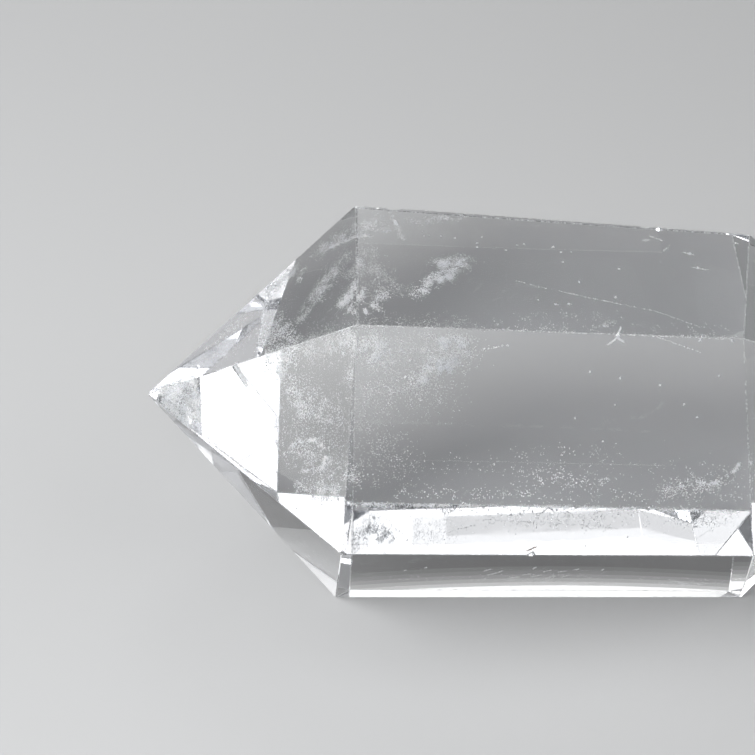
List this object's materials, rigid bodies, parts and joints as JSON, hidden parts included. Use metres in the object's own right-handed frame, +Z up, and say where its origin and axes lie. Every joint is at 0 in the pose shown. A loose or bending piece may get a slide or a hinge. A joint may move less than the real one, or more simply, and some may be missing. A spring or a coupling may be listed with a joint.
{
  "type": "double terminated quartz",
  "caption": "Clear quartz crystal: a faceted six-sided prism with a six-sided point at each end, lying on one of its long faces.",
  "frame": {"origin": "on the ground under the middle of the crystal, at the centre of its bounding box's base", "axes": "+X along the crystal's long axis towards its slimmer end, -Y the side that looks at the viewer, +Z up; the crystal lies on a flat long face"},
  "size_m": [0.075, 0.0362, 0.032],
  "materials": {
    "clear_quartz": "polished, clear"
  },
  "bodies": {
    "root": {"quartz_crystal": "clear_quartz"}
  },
  "joints": []
}
